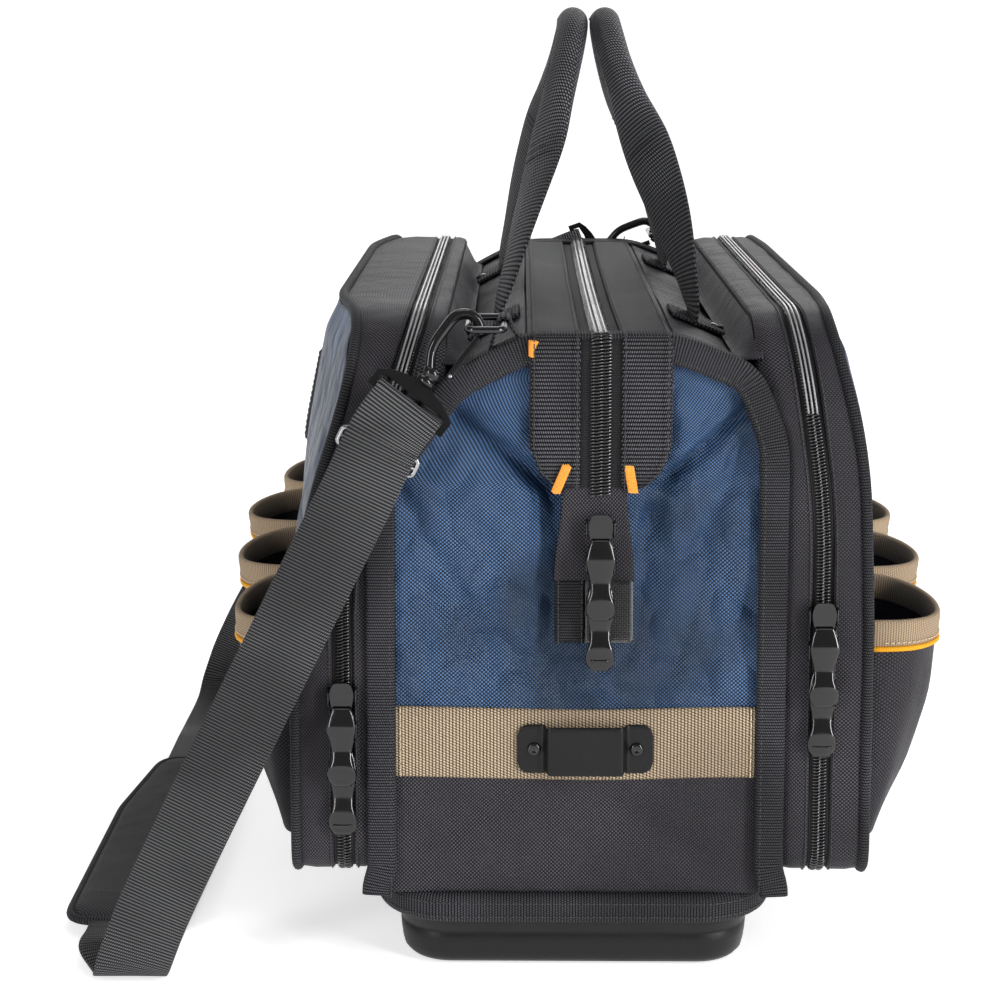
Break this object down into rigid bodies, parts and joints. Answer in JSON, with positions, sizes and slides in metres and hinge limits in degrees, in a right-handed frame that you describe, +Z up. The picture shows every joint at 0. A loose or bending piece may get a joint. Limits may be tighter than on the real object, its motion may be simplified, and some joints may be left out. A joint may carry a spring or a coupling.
{
  "type": "tool bag",
  "caption": "Soft tool bag on a moulded base, with a zipped main compartment, hinged side compartments with open pockets, carrying handles and a shoulder strap.",
  "frame": {"origin": "centre of the underside of the moulded base", "axes": "+Z up, +X across the bag towards the side without the shoulder strap's pad, +Y along the bag from its near end to its far end"},
  "size_m": [0.4886, 0.5045, 0.505],
  "materials": {
    "moulded_black": "moulded, matt with a fine grain",
    "nylon_black": "heavy woven nylon, coarse plain weave",
    "nylon_blue": "coated woven nylon, slightly glossy",
    "web_black": "ribbed webbing",
    "web_tan": "ribbed webbing",
    "metal_black": "glossy black coating on cast metal",
    "metal_bright": "nickel plated wire"
  },
  "bodies": {
    "bag": {"base_tray": "moulded_black", "base_binding": "web_black", "left_side_wall": "nylon_black", "right_side_wall": "nylon_black", "near_end_panel": "nylon_blue", "far_end_panel": "nylon_blue", "near_arch_binding": "web_black", "far_arch_binding": "web_black", "near_tan_band": "web_tan", "far_tan_band": "web_tan", "near_zip_tongue": "web_black", "far_zip_tongue": "web_black", "zip_tail": "nylon_black", "hook_patch": "nylon_black", "tape_clip": "metal_black", "clip_rivet_left": "metal_black", "clip_rivet_right": "metal_black", "left_compartment": "nylon_black", "right_compartment": "nylon_black", "near_ring_tab": "web_black", "far_ring_tab": "web_black", "near_eye": "metal_black", "far_eye": "metal_black", "shoulder_strap": "web_black"},
    "left_lid": {"left_lid_gusset": "nylon_black", "left_lid_panel": "nylon_blue", "left_pocket_1": "nylon_black", "left_pocket_2": "nylon_black", "left_pocket_3": "nylon_black", "left_pocket_4": "nylon_black"},
    "left_flap": {"left_flap": "web_black"},
    "left_handle": {"left_handle": "web_black"},
    "right_lid": {"right_lid_gusset": "nylon_black", "right_lid_panel": "nylon_blue", "right_pocket_1": "nylon_black", "right_pocket_2": "nylon_black", "right_pocket_3": "nylon_black", "right_pocket_4": "nylon_black"},
    "right_flap": {"right_flap": "web_black"},
    "right_handle": {"right_handle": "web_black"},
    "main_slider_lower": {"main_slider_lower": "metal_black"},
    "main_pull_lower": {"main_pull_lower": "metal_black"},
    "main_slider_upper": {"main_slider_upper": "metal_black"},
    "main_pull_upper": {"main_pull_upper": "metal_black"},
    "left_slider_lower": {"left_slider_lower": "metal_black"},
    "left_pull_lower": {"left_pull_lower": "metal_black"},
    "left_slider_upper": {"left_slider_upper": "metal_black"},
    "left_pull_upper": {"left_pull_upper": "metal_black"},
    "right_slider_lower": {"right_slider_lower": "metal_black"},
    "right_pull_lower": {"right_pull_lower": "metal_black"},
    "right_slider_upper": {"right_slider_upper": "metal_black"},
    "right_pull_upper": {"right_pull_upper": "metal_black"},
    "near_ring": {"near_ring": "metal_black"},
    "near_hook": {"near_hook": "metal_black"},
    "near_gate": {"near_gate": "metal_black"},
    "far_ring": {"far_ring": "metal_black"},
    "far_hook": {"far_hook": "metal_black"},
    "far_gate": {"far_gate": "metal_black"},
    "tri_glide": {"tri_glide": "metal_bright"},
    "shoulder_pad": {"shoulder_pad": "nylon_black"}
  },
  "joints": [
    {"name": "left_flap_hinge", "type": "hinge", "parent": "bag", "child": "left_flap", "pos_m": [-0.0265, 0, 0.338], "axis": [0, -1, 0], "range_deg": [0, 75]},
    {"name": "right_flap_hinge", "type": "hinge", "parent": "bag", "child": "right_flap", "pos_m": [0.0505, 0, 0.338], "axis": [0, 1, 0], "range_deg": [0, 75]},
    {"name": "left_lid_hinge", "type": "hinge", "parent": "bag", "child": "left_lid", "pos_m": [-0.1205, 0, 0.055], "axis": [0, -1, 0], "range_deg": [0, 60]},
    {"name": "right_lid_hinge", "type": "hinge", "parent": "bag", "child": "right_lid", "pos_m": [0.1265, 0, 0.055], "axis": [0, 1, 0], "range_deg": [0, 60]},
    {"name": "left_handle_hinge", "type": "hinge", "parent": "bag", "child": "left_handle", "pos_m": [-0.0425, 0, 0.3304], "axis": [0, -1, 0], "range_deg": [0, 55]},
    {"name": "right_handle_hinge", "type": "hinge", "parent": "bag", "child": "right_handle", "pos_m": [0.0665, 0, 0.33232], "axis": [0, 1, 0], "range_deg": [0, 55]},
    {"name": "main_slider_lower_slide", "type": "slide", "parent": "bag", "child": "main_slider_lower", "axis": [0, 0, 1], "range_m": [0, 0.03]},
    {"name": "main_slider_upper_slide", "type": "slide", "parent": "main_slider_lower", "child": "main_slider_upper", "axis": [0, 0, 1], "range_m": [0, 0.04]},
    {"name": "left_slider_upper_slide", "type": "slide", "parent": "bag", "child": "left_slider_upper", "axis": [0, 0, 1], "range_m": [0, 0.06]},
    {"name": "left_slider_lower_slide", "type": "slide", "parent": "bag", "child": "left_slider_lower", "axis": [0, 0, 1], "range_m": [-0.05, 0]},
    {"name": "right_slider_upper_slide", "type": "slide", "parent": "bag", "child": "right_slider_upper", "axis": [0, 0, 1], "range_m": [0, 0.045]},
    {"name": "right_slider_lower_slide", "type": "slide", "parent": "bag", "child": "right_slider_lower", "axis": [0, 0, 1], "range_m": [-0.09, 0]},
    {"name": "main_pull_upper_hinge", "type": "hinge", "parent": "main_slider_upper", "child": "main_pull_upper", "pos_m": [0.012, -0.2416, 0.23617], "axis": [1, 0, 0], "range_deg": [-95, 0]},
    {"name": "main_pull_lower_hinge", "type": "hinge", "parent": "main_slider_lower", "child": "main_pull_lower", "pos_m": [0.012, -0.2375, 0.2126], "axis": [1, 0, 0], "range_deg": [-95, 0]},
    {"name": "left_pull_upper_hinge", "type": "hinge", "parent": "left_slider_upper", "child": "left_pull_upper", "pos_m": [-0.1205, -0.2383, 0.14667], "axis": [1, 0, 0], "range_deg": [-95, 0]},
    {"name": "left_pull_lower_hinge", "type": "hinge", "parent": "left_slider_lower", "child": "left_pull_lower", "pos_m": [-0.1205, -0.2342, 0.1231], "axis": [1, 0, 0], "range_deg": [-95, 0]},
    {"name": "right_pull_upper_hinge", "type": "hinge", "parent": "right_slider_upper", "child": "right_pull_upper", "pos_m": [0.1265, -0.2383, 0.18967], "axis": [1, 0, 0], "range_deg": [-95, 0]},
    {"name": "right_pull_lower_hinge", "type": "hinge", "parent": "right_slider_lower", "child": "right_pull_lower", "pos_m": [0.1265, -0.2342, 0.1661], "axis": [1, 0, 0], "range_deg": [-95, 0]},
    {"name": "near_ring_hinge", "type": "hinge", "parent": "bag", "child": "near_ring", "pos_m": [-0.037, -0.2265, 0.3455], "axis": [0, 1, 0], "range_deg": [-4, 2]},
    {"name": "near_hook_swivel", "type": "hinge", "parent": "bag", "child": "near_hook", "pos_m": [-0.07723, -0.24228, 0.31697], "axis": [0.6009, 0.2103, 0.7712], "range_deg": [-8, 8]},
    {"name": "near_gate_hinge", "type": "hinge", "parent": "near_hook", "child": "near_gate", "pos_m": [-0.06419, -0.23993, 0.32069], "axis": [0.1293, -0.9776, 0.1659], "range_deg": [0, 14], "stiffness_Nm_per_rad": 0.02, "springref_deg": -17.19},
    {"name": "far_ring_hinge", "type": "hinge", "parent": "bag", "child": "far_ring", "pos_m": [0.0815, 0.2265, 0.3455], "axis": [0, 1, 0], "range_deg": [-4, 4]},
    {"name": "far_hook_swivel", "type": "hinge", "parent": "bag", "child": "far_hook", "pos_m": [0.02871, 0.239, 0.33292], "axis": [0.9404, 0, 0.3401], "range_deg": [-4, 4]},
    {"name": "far_gate_hinge", "type": "hinge", "parent": "far_hook", "child": "far_gate", "pos_m": [0.04196, 0.239, 0.3292], "axis": [0, -1, 0], "range_deg": [0, 14], "stiffness_Nm_per_rad": 0.02, "springref_deg": -17.19},
    {"name": "tri_glide_slide", "type": "slide", "parent": "bag", "child": "tri_glide", "axis": [-0.4373, 0, -0.8993], "range_m": [-0.003, 0.012]},
    {"name": "shoulder_pad_slide", "type": "slide", "parent": "bag", "child": "shoulder_pad", "axis": [0, 1, 0], "range_m": [-0.008, 0.03]}
  ],
  "couplings": [
    {"joint": "main_pull_lower_hinge", "follows": "main_pull_upper_hinge", "ratio": 1},
    {"joint": "left_pull_lower_hinge", "follows": "left_pull_upper_hinge", "ratio": 1},
    {"joint": "right_pull_lower_hinge", "follows": "right_pull_upper_hinge", "ratio": 1}
  ]
}
